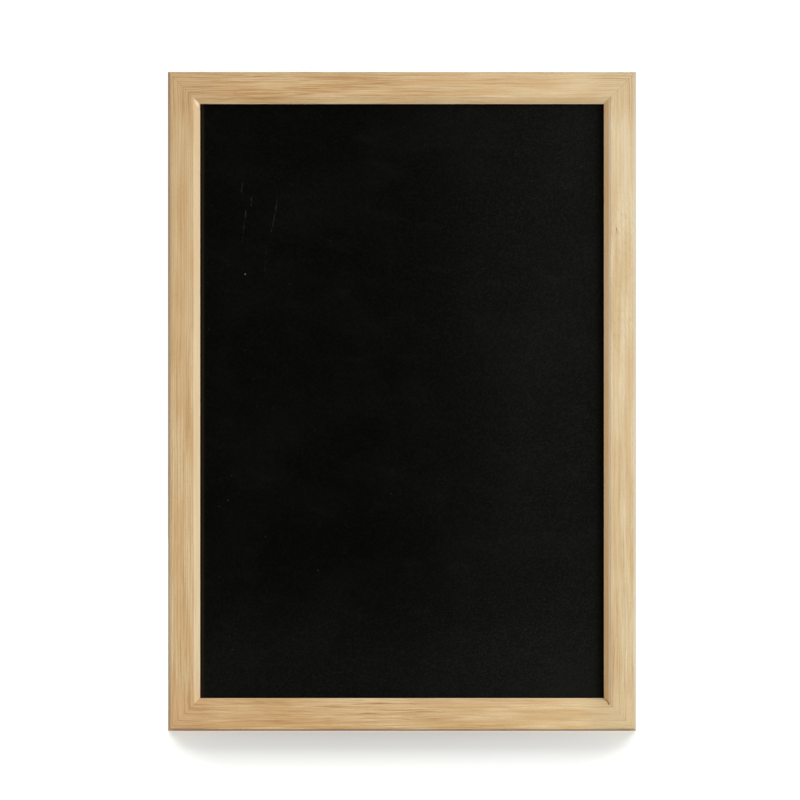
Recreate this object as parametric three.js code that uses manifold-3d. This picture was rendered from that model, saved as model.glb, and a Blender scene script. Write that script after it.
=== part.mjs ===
// A framed chalkboard: a black writing panel in a mitred pine frame, with two ring hangers on its back.
// Millimetres, +Z up. The front faces -Y and the left side, seen from the front, is at -X.
// The origin is at the middle of the whole board's footprint, on the surface that it stands on.

import * as THREE from 'three';
import { mergeVertices } from 'three/addons/utils/BufferGeometryUtils.js';
import Module from 'manifold-3d';

// Overall size of the frame
const boardWidth = 300;
const boardHeight = 422;

// Pine moulding: its section runs from the outer edge inwards and from the face backwards
const mouldingWidth = 20.6;
const mouldingDepth = 15;
const outerRound = 2.2; // rounded edge between the face and the outer side
const backEase = 0.8; // sanded edge between the outer side and the back
const bevelWidth = 4.2; // sloping inner edge, seen from the front
const bevelDrop = 4; // how far that slope falls behind the face
const bevelArris = 1.2; // sanded edge between the face and the bevel
const lipArris = 0.4; // sanded edge at the foot of the bevel
const lipThickness = 6.6; // from the face back to the rebate that the panel lies in
const rebateWidth = 5.6; // how far the lip laps over the panel's edge
const glueLine = 0.1; // glue in each mitre

// Writing panel: hardboard with a black chalk coat
const panelThickness = 3;
const panelCorner = 1; // radius of its cut corners
const panelEdgePlay = 0.8; // from its edge to the wall of the rebate
const panelSeat = 0.3; // between its coated face and the lip

// V nails, driven into the mitres from the back
const nailArm = 4.4; // one arm, from the point of the V
const nailHook = 1.3; // curled end of an arm
const nailSpread = 52; // degrees between an arm and the mitre
const nailHookTurn = 70; // degrees that the curled end turns in from its arm
const nailSheet = 0.6; // thickness of the steel
const nailBend = 0.6; // inner radius of its bends
const nailHeight = 7; // length along the depth of the moulding
const nailSink = 0.3; // how far its back edge lies below the back of the frame
const outerNailInset = 4.4; // from the outer side of the frame to the outer nail's point
const nailPitch = 5.2; // from the outer nail's point to the inner nail's, across the moulding

// Glazier's points, pushed into the rebate's wall behind the panel
const pointWidth = 6;
const pointReach = 8; // stretch that lies over the panel
const pointBite = 5.5; // stretch inside the wood, to its tip
const pointTaper = 3; // length of the tip
const pointSheet = 0.5;
const pointCorner = 1.2;
const pointSeat = 0.3; // between a point and the back of the panel
const stilePointCount = 3;
const railPointCount = 2;

// Ring hangers: a strap folded round the bar of a D ring, held by one screw
const hangerDrop = 84; // from the top of the frame down to the ring's bar
const strapSheet = 0.8;
const strapFoldGap = 0.15; // between the strap's two layers
const strapWidth = 7;
const strapTail = 17; // from the ring's bar to the strap's lower end
const strapEnd = 3.2; // radius of the corners at that end
const strapNeck = 4.2; // from the ring's bar to where the two layers meet
const strapWrap = 230; // degrees that the strap turns round the bar
const strapStand = 0.1; // between the strap and the wood
const ringWire = 1.8; // diameter
const ringWidth = 12.2; // between the middles of its two sides
const ringHeight = 9; // from the middle of its bar to the middle of its bow
const ringCorner = 2;
const ringButt = 0.4; // between the wire's two ends, inside the strap
const loopPlay = 0.2; // between the wire and the strap, all round
const ringRest = 0.3; // between the leaning ring and the back of the frame

// Hanger screws: pan heads with a cross recess
const screwDrop = 12.6; // from the ring's bar down to the screw
const screwHead = 5.4; // diameter
const screwHeadHeight = 1.7;
const screwHeadEdge = 0.5; // height of the head's straight rim
const screwShank = 2.6; // diameter
const screwReach = 10; // from under the head to the tip
const screwTip = 2.6; // length of the tip
const screwSeat = 0.05; // between the head and the strap
const recessSpan = 3.2;
const recessBlade = 0.7;
const recessDepth = 1;

const drivenPlay = 0.15; // round nails, points and screws that are driven into the wood
const holePlay = 0.3; // round the screw where it passes through the strap
const overcut = 1; // how far a cutting shape runs past the surface that it opens
const samePlace = 1e-4; // points closer than this are one point

// Facets
const arcPieces = 3; // pairs of facets on each rounded edge
const loopPieces = 10; // pairs of facets where the strap turns round the bar
const ringSteps = 60;
const wireSides = 10;
const screwSides = 24;

// Places that follow from the sizes above
const halfWidth = boardWidth / 2;
const rebateWall = mouldingWidth - rebateWidth;
const panelFace = lipThickness + panelSeat;
const panelBack = panelFace + panelThickness;
const panelWidth = boardWidth - 2 * (rebateWall + panelEdgePlay);
const panelHeight = boardHeight - 2 * (rebateWall + panelEdgePlay);
const pointFace = panelBack + pointSeat;
const pointBack = pointFace + pointSheet;
const nailBendMiddle = nailBend + nailSheet / 2;
const wireRadius = ringWire / 2;
const loopRadius = wireRadius + loopPlay + strapSheet / 2; // middle of the strap's sheet
const barStand = loopRadius + strapSheet / 2; // from the strap's foot to the middle of the bar
const strapStack = 2 * strapSheet + strapFoldGap;
const hangerSide = halfWidth - rebateWall / 2; // hangers stand in the middle of the stiles' backs
const hangerFoot = mouldingDepth + strapStand;
const hangerHeight = boardHeight - hangerDrop;
const ringLean = Math.asin((strapStand + barStand - wireRadius - ringRest) / ringHeight);
const wholeDepth = hangerFoot + barStand + loopRadius + strapSheet / 2;

const wasm = await Module();
wasm.setup();

// Drawing planes: a shape's x, its y and its extrusion are laid along the board's axes
const axisX = new THREE.Vector3(1, 0, 0);
const axisY = new THREE.Vector3(0, 1, 0);
const axisZ = new THREE.Vector3(0, 0, 1);
const frontPlane = new THREE.Matrix4().makeBasis(axisX, axisZ, axisY.clone().negate());
const sidePlane = new THREE.Matrix4().makeBasis(axisY, axisZ, axisX);

// Path through corners given as [x, y, radius], each rounded by an arc of its radius.
function roundedPath(corners, closed, path = new THREE.Path()) {
  const count = corners.length;
  const at = (i) => new THREE.Vector2(...corners[(i + count) % count]);
  corners.forEach(([x, y, radius = 0], i) => {
    const corner = new THREE.Vector2(x, y);
    const isEnd = !closed && (i === 0 || i === count - 1);
    const into = corner.clone().sub(at(i - 1)).normalize();
    const onward = at(i + 1).sub(corner).normalize();
    const turn = Math.atan2(into.cross(onward), into.dot(onward));
    const runIn = isEnd ? 0 : radius * Math.tan(Math.abs(turn) / 2);
    const start = corner.clone().addScaledVector(into, -runIn);
    if (i === 0) path.moveTo(start.x, start.y);
    else path.lineTo(start.x, start.y);
    if (runIn > 0) {
      const side = Math.sign(turn);
      const middle = new THREE.Vector2(-into.y, into.x).multiplyScalar(side * radius).add(start);
      const from = Math.atan2(start.y - middle.y, start.x - middle.x);
      path.absarc(middle.x, middle.y, radius, from, from + turn, side < 0);
    }
  });
  if (closed) path.closePath();
  return path;
}

function roundedShape(corners) {
  return roundedPath(corners, true, new THREE.Shape());
}

// Outline of a strip of sheet that follows an open path; each end can run on past the path's end.
function stripShape(path, pieces, thickness, runOn = 0) {
  const line = path.getPoints(pieces).filter((p, i, all) => i === 0 || p.distanceTo(all[i - 1]) > samePlace);
  const last = line.length - 1;
  const headings = line.slice(1).map((p, i) => p.clone().sub(line[i]).normalize());
  line[0].addScaledVector(headings[0], -runOn);
  line[last].addScaledVector(headings[last - 1], runOn);
  const offset = (distance) => line.map((p, i) => {
    const before = headings[Math.max(i - 1, 0)];
    const after = headings[Math.min(i, last - 1)];
    const middle = before.clone().add(after).normalize();
    const reach = distance / middle.dot(after);
    return new THREE.Vector2(p.x - middle.y * reach, p.y + middle.x * reach);
  });
  return new THREE.Shape([...offset(-thickness / 2), ...offset(thickness / 2).reverse()]);
}

function extrude(shape, depth, plane = new THREE.Matrix4(), pieces = arcPieces) {
  const geometry = new THREE.ExtrudeGeometry(shape, { depth, bevelEnabled: false, curveSegments: pieces });
  return geometry.applyMatrix4(plane);
}

// Closed geometry to a solid that can be cut.
function solid(geometry) {
  const bare = geometry.clone();
  bare.deleteAttribute('normal');
  bare.deleteAttribute('uv');
  const merged = mergeVertices(bare, samePlace);
  const corners = merged.index.array;
  const kept = [];
  for (let i = 0; i < corners.length; i += 3) {
    const [a, b, c] = corners.slice(i, i + 3);
    if (a !== b && b !== c && c !== a) kept.push(a, b, c);
  }
  const vertProperties = new Float32Array(merged.attributes.position.array);
  const mesh = new wasm.Mesh({ numProp: 3, vertProperties, triVerts: new Uint32Array(kept) });
  return new wasm.Manifold(mesh);
}

function geometryOf(body) {
  const mesh = body.getMesh();
  const geometry = new THREE.BufferGeometry();
  geometry.setAttribute('position', new THREE.BufferAttribute(mesh.vertProperties, 3));
  geometry.setIndex(new THREE.BufferAttribute(mesh.triVerts, 1));
  const faceted = geometry.toNonIndexed();
  faceted.computeVertexNormals();
  return faceted;
}

function cutAway(geometry, cutters) {
  return geometryOf(cutters.reduce((body, cutter) => body.subtract(solid(cutter)), solid(geometry)));
}

const finishes = {
  pine: { color: 0xceae82, roughness: 0.62, metalness: 0 },
  chalkCoat: { color: 0x12130f, roughness: 0.9, metalness: 0 },
  zincSteel: { color: 0xb9bcc0, roughness: 0.38, metalness: 1 },
  nailSteel: { color: 0x8f9296, roughness: 0.5, metalness: 1 },
};

function piece(name, geometry, finish) {
  const mesh = new THREE.Mesh(geometry, new THREE.MeshStandardMaterial(finish));
  mesh.name = name;
  return mesh;
}

// Frame members. Each is drawn lengthwise along Z with its outer side at x = 0 and its face at y = 0.

function mouldingSection() {
  return roundedShape([
    [0, 0, outerRound],
    [mouldingWidth - bevelWidth, 0, bevelArris],
    [mouldingWidth, bevelDrop, lipArris],
    [mouldingWidth, lipThickness],
    [rebateWall, lipThickness],
    [rebateWall, mouldingDepth],
    [0, mouldingDepth, backEase],
  ]);
}

// Wedge that a saw takes off the end of a member at 45 degrees, with half of the glue line.
function mitreWedge() {
  const shift = glueLine / Math.SQRT2;
  const reach = mouldingWidth + overcut;
  const wedge = new THREE.Shape([
    new THREE.Vector2(-overcut, -overcut + shift),
    new THREE.Vector2(-overcut, -reach),
    new THREE.Vector2(reach, -reach),
    new THREE.Vector2(reach, reach + shift),
  ]);
  return extrude(wedge, mouldingDepth + 2 * overcut, frontPlane).translate(0, mouldingDepth + overcut, 0);
}

// V nail in a mitre that runs along +X, its point at the origin and its back edge at y = 0.
function nailGeometry(play = 0) {
  const spread = THREE.MathUtils.degToRad(nailSpread);
  const hookHeading = spread - THREE.MathUtils.degToRad(nailHookTurn);
  const towards = (angle) => new THREE.Vector2(Math.cos(angle), Math.sin(angle));
  const arm = towards(spread).multiplyScalar(nailArm);
  const hook = towards(hookHeading).multiplyScalar(nailHook).add(arm);
  const line = roundedPath([
    [hook.x, hook.y],
    [arm.x, arm.y, nailBendMiddle],
    [0, 0, nailBendMiddle],
    [arm.x, -arm.y, nailBendMiddle],
    [hook.x, -hook.y],
  ], false);
  const outline = stripShape(line, arcPieces, nailSheet + 2 * play, play);
  return extrude(outline, nailHeight + play, frontPlane);
}

// Slots for the nails at both ends of a member, open at the back of the frame.
function nailSlots(length) {
  const turn = Math.PI / 4;
  const slot = nailGeometry(drivenPlay);
  const mouth = slot.clone().translate(0, nailSink + overcut, 0);
  return Object.values(nailInsets).flatMap((inset) => [slot, mouth].flatMap((part) => [
    part.clone().rotateY(-turn).translate(inset, mouldingDepth - nailSink, inset),
    part.clone().rotateY(turn).translate(inset, mouldingDepth - nailSink, length - inset),
  ]));
}

const nailInsets = { outer: outerNailInset, inner: outerNailInset + nailPitch };

// Glazier's point: its blunt end lies over the panel, at +X, and its tip is in the wood, at -X.
function pointGeometry(play = 0) {
  const half = pointWidth / 2 + play;
  const outline = roundedShape([
    [-pointBite - play, 0, play],
    [-pointBite + pointTaper, -half],
    [pointReach, -half, pointCorner],
    [pointReach, half, pointCorner],
    [-pointBite + pointTaper, half],
  ]);
  return extrude(outline, pointSheet + 2 * play, frontPlane).translate(rebateWall, pointBack + play, 0);
}

// Heights of evenly spread points along a member.
function pointPlaces(length, count) {
  return Array.from({ length: count }, (_, i) => length * (i + 0.5) / count);
}

function pilotHole() {
  const hole = new THREE.CylinderGeometry(
    screwShank / 2 + drivenPlay,
    screwShank / 2 + drivenPlay,
    screwReach - strapStack - strapStand + overcut + drivenPlay,
    screwSides,
  );
  const bottom = hangerFoot + strapStack + screwSeat - screwReach - drivenPlay;
  return hole.translate(rebateWall / 2, bottom + hole.parameters.height / 2, 0);
}

function memberGeometry(length, pointCount, screwHeight) {
  const blank = extrude(mouldingSection(), length);
  const mitres = [
    mitreWedge(),
    mitreWedge().rotateX(Math.PI).translate(0, mouldingDepth, length),
  ];
  const places = pointPlaces(length, pointCount);
  const slits = places.map((place) => pointGeometry(drivenPlay).translate(0, 0, place));
  const holes = screwHeight === undefined ? [] : [pilotHole().translate(0, 0, screwHeight)];
  return cutAway(blank, [...mitres, ...nailSlots(length), ...slits, ...holes]);
}

// A member with the points that are pushed into it, turned about Y to its side of the board.
function member(name, length, pointCount, quarterTurns, x, z, screwHeight) {
  const group = new THREE.Group();
  const side = name.replace('frame_', '');
  group.add(piece(name, memberGeometry(length, pointCount, screwHeight), finishes.pine));
  pointPlaces(length, pointCount).forEach((place, i) => {
    const point = piece(`glazier_point_${side}_${i + 1}`, pointGeometry(), finishes.nailSteel);
    point.position.z = place;
    group.add(point);
  });
  group.rotation.y = quarterTurns * Math.PI / 2;
  group.position.set(x, 0, z);
  return group;
}

function frameMembers() {
  const screwUp = hangerHeight - screwDrop;
  const screwDown = boardHeight - screwUp; // the right stile is drawn from its top down
  return [
    member('frame_stile_left', boardHeight, stilePointCount, 0, -halfWidth, 0, screwUp),
    member('frame_stile_right', boardHeight, stilePointCount, 2, halfWidth, boardHeight, screwDown),
    member('frame_rail_bottom', boardWidth, railPointCount, -1, halfWidth, 0),
    member('frame_rail_top', boardWidth, railPointCount, 1, -halfWidth, boardHeight),
  ];
}

function cornerNails(name, quarterTurns, x, z) {
  const group = new THREE.Group();
  for (const [place, inset] of Object.entries(nailInsets)) {
    const nail = piece(`v_nail_${name}_${place}`, nailGeometry(), finishes.nailSteel);
    nail.rotation.y = -Math.PI / 4;
    nail.position.set(inset, mouldingDepth - nailSink, inset);
    group.add(nail);
  }
  group.rotation.y = quarterTurns * Math.PI / 2;
  group.position.set(x, 0, z);
  return group;
}

function mitreNails() {
  return [
    cornerNails('bottom_left', 0, -halfWidth, 0),
    cornerNails('bottom_right', -1, halfWidth, 0),
    cornerNails('top_right', 2, halfWidth, boardHeight),
    cornerNails('top_left', 1, -halfWidth, boardHeight),
  ];
}

function writingPanel() {
  const halfPanel = panelWidth / 2;
  const low = (boardHeight - panelHeight) / 2;
  const high = low + panelHeight;
  const outline = roundedShape([
    [-halfPanel, low, panelCorner],
    [halfPanel, low, panelCorner],
    [halfPanel, high, panelCorner],
    [-halfPanel, high, panelCorner],
  ]);
  const panel = piece('writing_panel', extrude(outline, panelThickness, frontPlane), finishes.chalkCoat);
  panel.position.y = panelBack;
  return panel;
}

// Hangers. The middle of the ring's bar is at x = 0, z = 0, and the strap's foot is at y = 0.

// One strip of steel, up the wood, round the ring's bar and down again over itself.
function strapGeometry() {
  const wrap = THREE.MathUtils.degToRad(strapWrap);
  const leave = new THREE.Vector2(Math.cos(Math.PI - wrap), Math.sin(Math.PI - wrap));
  const down = new THREE.Vector2(leave.y, -leave.x);
  const throat = leave.clone().multiplyScalar(loopRadius).add(new THREE.Vector2(barStand, 0));
  const ease = (strapNeck + throat.y) / 2;
  const upperLayer = strapStack - strapSheet / 2;
  const bend = throat.clone().addScaledVector(down, ease / 2);
  const line = new THREE.Path()
    .moveTo(strapSheet / 2, -strapTail)
    .lineTo(strapSheet / 2, 0)
    .absarc(barStand, 0, loopRadius, Math.PI, Math.PI - wrap, true)
    .bezierCurveTo(bend.x, bend.y, upperLayer, ease - strapNeck, upperLayer, -strapNeck)
    .lineTo(upperLayer, -strapTail);
  const strip = extrude(stripShape(line, loopPieces, strapSheet), strapWidth, sidePlane);
  strip.translate(-strapWidth / 2, 0, 0);

  const top = barStand + overcut;
  const plan = roundedShape([
    [-strapWidth / 2, -strapTail, strapEnd],
    [strapWidth / 2, -strapTail, strapEnd],
    [strapWidth / 2 + overcut, top],
    [-strapWidth / 2 - overcut, top],
  ]);
  const blade = extrude(plan, 2 * (barStand + overcut), frontPlane).translate(0, 2 * barStand + overcut, 0);
  const hole = new THREE.CylinderGeometry(
    screwShank / 2 + holePlay,
    screwShank / 2 + holePlay,
    strapStack + 2 * overcut,
    screwSides,
  ).translate(0, strapStack / 2, -screwDrop);
  return geometryOf(solid(strip).intersect(solid(blade)).subtract(solid(hole)));
}

// A wire bent to a D, its two ends meeting in the bar, inside the strap.
function ringGeometry() {
  const half = ringWidth / 2;
  const outline = roundedPath([
    [ringButt / 2, 0],
    [half, 0, ringCorner],
    [half, ringHeight, half],
    [-half, ringHeight, half],
    [-half, 0, ringCorner],
    [-ringButt / 2, 0],
  ], false);
  const bends = outline.getSpacedPoints(ringSteps).map((p) => new THREE.Vector3(p.x, 0, p.y));
  const section = new THREE.Shape().absarc(0, 0, wireRadius, 0, 2 * Math.PI);
  return new THREE.ExtrudeGeometry(section, {
    steps: ringSteps,
    curveSegments: wireSides / 2,
    extrudePath: new THREE.CatmullRomCurve3(bends),
  });
}

// Pan head screw along Y, the underside of its head at y = 0 and its tip at -Y.
function screwGeometry() {
  const head = screwHead / 2;
  const shank = screwShank / 2;
  const crown = screwHeadHeight - screwHeadEdge;
  const dome = Array.from({ length: arcPieces * 2 }, (_, i) => {
    const turn = (i + 1) / (arcPieces * 2) * Math.PI / 2;
    return new THREE.Vector2(head * Math.cos(turn), screwHeadEdge + crown * Math.sin(turn));
  });
  dome[dome.length - 1].x = 0;
  const profile = [
    new THREE.Vector2(0, -screwReach),
    new THREE.Vector2(shank, -screwReach + screwTip),
    new THREE.Vector2(shank, 0),
    new THREE.Vector2(head, 0),
    new THREE.Vector2(head, screwHeadEdge),
    ...dome,
  ];
  const blank = new THREE.LatheGeometry(profile, screwSides);
  const blades = [0, Math.PI / 2].map((turn) => {
    return new THREE.BoxGeometry(recessSpan, 2 * recessDepth, recessBlade)
      .translate(0, screwHeadHeight, 0)
      .rotateY(turn);
  });
  return cutAway(blank, blades);
}

function hanger(side, x) {
  const group = new THREE.Group();
  group.add(piece(`hanger_strap_${side}`, strapGeometry(), finishes.zincSteel));

  const screw = piece(`hanger_screw_${side}`, screwGeometry(), finishes.zincSteel);
  screw.position.set(0, strapStack + screwSeat, -screwDrop);
  group.add(screw);

  // The ring stands up and leans back on the wood by its own weight.
  const ring = piece(`hanger_ring_${side}`, ringGeometry(), finishes.zincSteel);
  ring.position.y = barStand;
  ring.rotation.x = ringLean;
  group.add(ring);

  group.position.set(x, hangerFoot, hangerHeight);
  return group;
}

const group = new THREE.Group();
group.add(
  ...frameMembers(),
  ...mitreNails(),
  writingPanel(),
  hanger('left', -hangerSide),
  hanger('right', hangerSide),
);
group.position.y = -wholeDepth / 2;

export default group;
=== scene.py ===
"""A framed chalkboard: a black writing panel in a mitred pine frame, with two ring hangers on its back.

Metres, +Z up. The front faces -Y, and the left side, seen from the front, is at -X.
Sizes and places are written in millimetres, times MM.
"""

import logging
import math
from dataclasses import dataclass, field
from enum import Enum
from typing import Callable, Iterable, Optional, Sequence, Union

import bmesh
import bpy
from mathutils import Matrix, Quaternion, Vector

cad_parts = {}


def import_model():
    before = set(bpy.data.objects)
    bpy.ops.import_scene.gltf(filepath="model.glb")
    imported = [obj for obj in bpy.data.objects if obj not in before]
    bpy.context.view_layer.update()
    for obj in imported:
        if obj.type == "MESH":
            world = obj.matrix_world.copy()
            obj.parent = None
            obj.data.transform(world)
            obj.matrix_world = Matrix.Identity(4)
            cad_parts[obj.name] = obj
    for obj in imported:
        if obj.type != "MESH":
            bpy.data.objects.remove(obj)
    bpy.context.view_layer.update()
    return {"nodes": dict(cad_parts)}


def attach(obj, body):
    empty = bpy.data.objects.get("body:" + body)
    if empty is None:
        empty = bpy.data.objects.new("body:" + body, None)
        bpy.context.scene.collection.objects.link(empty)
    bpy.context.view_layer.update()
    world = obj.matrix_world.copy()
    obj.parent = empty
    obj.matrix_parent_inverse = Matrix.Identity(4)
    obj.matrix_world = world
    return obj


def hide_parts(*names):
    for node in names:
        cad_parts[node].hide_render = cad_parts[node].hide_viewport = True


log = logging.getLogger("chalkboard")

MM = 0.001
SAME_PLACE = 1e-7  # vertices this close are one
NEAR = 1e-6  # a vertex this close to a line or a plane lies on it
CREASE = 35.0  # angle in degrees from which an edge stays sharp

AXIS_X = Vector((1, 0, 0))
AXIS_Y = Vector((0, 1, 0))
AXIS_Z = Vector((0, 0, 1))

Colour = tuple[float, float, float, float]
Paint = Union[Colour, bpy.types.NodeSocket]
Number = Union["Value", float]


def srgb(red: float, green: float, blue: float) -> Colour:
    """Turns a screen colour into the linear colour that a shader takes.

    Args:
        red: Red, from 0 to 255.
        green: Green, from 0 to 255.
        blue: Blue, from 0 to 255.

    Returns:
        The linear colour, with full alpha.
    """

    def linear(part: float) -> float:
        """Turns one part of a screen colour into a linear one."""
        share = part / 255
        return share / 12.92 if share <= 0.04045 else ((share + 0.055) / 1.055) ** 2.4

    return (linear(red), linear(green), linear(blue), 1.0)


# Shader maths


class Value:
    """A number in a shader: Python's operators on it add Math nodes."""

    def __init__(self, shader: "Shader", socket: bpy.types.NodeSocket) -> None:
        """Wraps the socket that carries the number."""
        self.shader = shader
        self.socket = socket

    def __add__(self, other: Number) -> "Value":
        """Adds another number."""
        return self.shader.math("ADD", self, other)

    def __radd__(self, other: Number) -> "Value":
        """Adds itself to a plain number."""
        return self.shader.math("ADD", other, self)

    def __sub__(self, other: Number) -> "Value":
        """Takes another number away."""
        return self.shader.math("SUBTRACT", self, other)

    def __rsub__(self, other: Number) -> "Value":
        """Takes itself away from a plain number."""
        return self.shader.math("SUBTRACT", other, self)

    def __mul__(self, other: Number) -> "Value":
        """Multiplies by another number."""
        return self.shader.math("MULTIPLY", self, other)

    def __rmul__(self, other: Number) -> "Value":
        """Multiplies a plain number."""
        return self.shader.math("MULTIPLY", other, self)

    def __truediv__(self, other: Number) -> "Value":
        """Divides by another number."""
        return self.shader.math("DIVIDE", self, other)

    def __rtruediv__(self, other: Number) -> "Value":
        """Divides a plain number by itself."""
        return self.shader.math("DIVIDE", other, self)


class Shader:
    """A node tree under construction, with one method that makes every node."""

    def __init__(self, owner: Union[bpy.types.Material, bpy.types.World]) -> None:
        """Starts an empty node tree on a material or a world."""
        owner.use_nodes = True
        self.tree = owner.node_tree
        self.tree.nodes.clear()

    def node(self, kind: str, settings: Optional[dict] = None,
             inputs: Optional[dict] = None) -> bpy.types.Node:
        """Makes one node.

        Args:
            kind: The node's type.
            settings: Its own properties.
            inputs: Values or links of its sockets, by name or by number.

        Returns:
            The node.
        """
        node = self.tree.nodes.new(kind)
        for name, setting in (settings or {}).items():
            setattr(node, name, setting)
        for key, given in (inputs or {}).items():
            socket = node.inputs[key]
            if isinstance(given, Value):
                self.tree.links.new(given.socket, socket)
            elif isinstance(given, bpy.types.NodeSocket):
                self.tree.links.new(given, socket)
            else:
                socket.default_value = given
        return node

    def math(self, operation: str, *numbers: Number) -> Value:
        """Works out one operation on numbers.

        Args:
            operation: The Math node's operation.
            numbers: What it works on, in order.

        Returns:
            The result.
        """
        inputs = dict(enumerate(numbers))
        return Value(self, self.node("ShaderNodeMath", {"operation": operation}, inputs).outputs[0])

    def place(self) -> tuple[Value, Value, Value]:
        """Gives the point's own place on the object, in millimetres.

        Returns:
            Its x, y and z.
        """
        point = self.node("ShaderNodeTexCoord").outputs["Object"]
        scaled = self.node("ShaderNodeVectorMath", {"operation": "SCALE"}, {0: point, "Scale": 1 / MM})
        parts = self.node("ShaderNodeSeparateXYZ", inputs={0: scaled.outputs[0]})
        return tuple(Value(self, socket) for socket in parts.outputs)

    def vector(self, parts: Sequence[Number]) -> bpy.types.NodeSocket:
        """Joins three numbers to a vector."""
        return self.node("ShaderNodeCombineXYZ", inputs=dict(enumerate(parts))).outputs[0]

    def noise(self, parts: Sequence[Number], detail: float = 0.0, roughness: float = 0.5) -> Value:
        """Soft noise of unit grain.

        Args:
            parts: The three coordinates that it is read at.
            detail: How many finer layers it holds.
            roughness: How strong these layers are.

        Returns:
            The noise, round 0.5.
        """
        inputs = {"Vector": self.vector(parts), "Scale": 1.0, "Detail": detail, "Roughness": roughness}
        return Value(self, self.node("ShaderNodeTexNoise", {"noise_dimensions": "3D"}, inputs).outputs[0])

    def cells(self, parts: Sequence[Number]) -> Value:
        """Distance to the nearest of many scattered points, one in each unit cell."""
        inputs = {"Vector": self.vector(parts), "Scale": 1.0}
        return Value(self, self.node("ShaderNodeTexVoronoi", {"feature": "F1"}, inputs).outputs["Distance"])

    def rise(self, number: Number, low: float, high: float) -> Value:
        """Smooth step from 0 at low to 1 at high; it falls where low is above high."""
        inputs = {0: number, 1: low, 2: high, 3: 0.0, 4: 1.0}
        made = self.node("ShaderNodeMapRange", {"interpolation_type": "SMOOTHSTEP", "clamp": True}, inputs)
        return Value(self, made.outputs[0])

    def band(self, number: Value, low: float, high: float, soft: float) -> Value:
        """One between two edges and nothing outside them, with soft edges."""
        return self.rise(number, low - soft, low + soft) * self.rise(number, high + soft, high - soft)

    def blend(self, share: Number, first: Paint, second: Paint, how: str = "MIX") -> bpy.types.NodeSocket:
        """Mixes two colours.

        Args:
            share: How much of the second one there is.
            first: The first colour.
            second: The second colour.
            how: The Mix node's blend type.

        Returns:
            The mixed colour.
        """
        settings = {"data_type": "RGBA", "blend_type": how, "clamp_factor": True}
        return self.node("ShaderNodeMix", settings, {0: share, 6: first, 7: second}).outputs[2]

    def bump(self, height: Value, depth: float) -> bpy.types.NodeSocket:
        """Relief from a height, of which 1 is as deep as depth."""
        inputs = {"Height": height, "Distance": depth, "Strength": 1.0}
        return self.node("ShaderNodeBump", inputs=inputs).outputs[0]

    def surface(self, **inputs: object) -> None:
        """Ends a material in one Principled surface; its sockets' names are given with _ for a space."""
        named = {name.replace("_", " "): given for name, given in inputs.items()}
        body = self.node("ShaderNodeBsdfPrincipled", inputs=named)
        self.node("ShaderNodeOutputMaterial", inputs={"Surface": body.outputs[0]})


# Finishes


class Grain(Enum):
    """The board's axis that the grain of a member runs along."""

    UP = "z"
    ACROSS = "x"


# Where looks start and where they are full, in millimetres
FRONT = (-2.0, -4.0)  # y: the face and the bevel
FACE = (-6.0, -7.5)  # y: the face alone
OUTER_ROUND = (-5.4, -7.0)  # y: the round between the outer side and the face
BEVEL = (16.0, 17.2)  # in from the frame's outer side
ARRIS = (19.7, 20.3)  # the bevel's inner edge, in from the outer side
CORNER = (40, 17)  # in from a member's end

SHOULDER = (16.7, 17.7)  # the bevel's outer edge, from and to, in from the outer side
HALF_WIDTH = 150  # of the board
HALF_HEIGHT = 211
RIGHT_SHIFT = 30  # gives the right corners other lines than the left ones
UPPER_SHIFT = 70  # and the upper corners other lines than the lower ones


@dataclass(frozen=True)
class Mark:
    """One mark on the wood: a resin fleck, a dent, a small hole or a painted highlight; all sizes are in
    millimetres.
    """

    along: float
    across: float
    length: float
    breadth: float
    slant: float = 0.0
    depth: float = 0.8
    colour: Colour = srgb(112, 74, 45)


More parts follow.
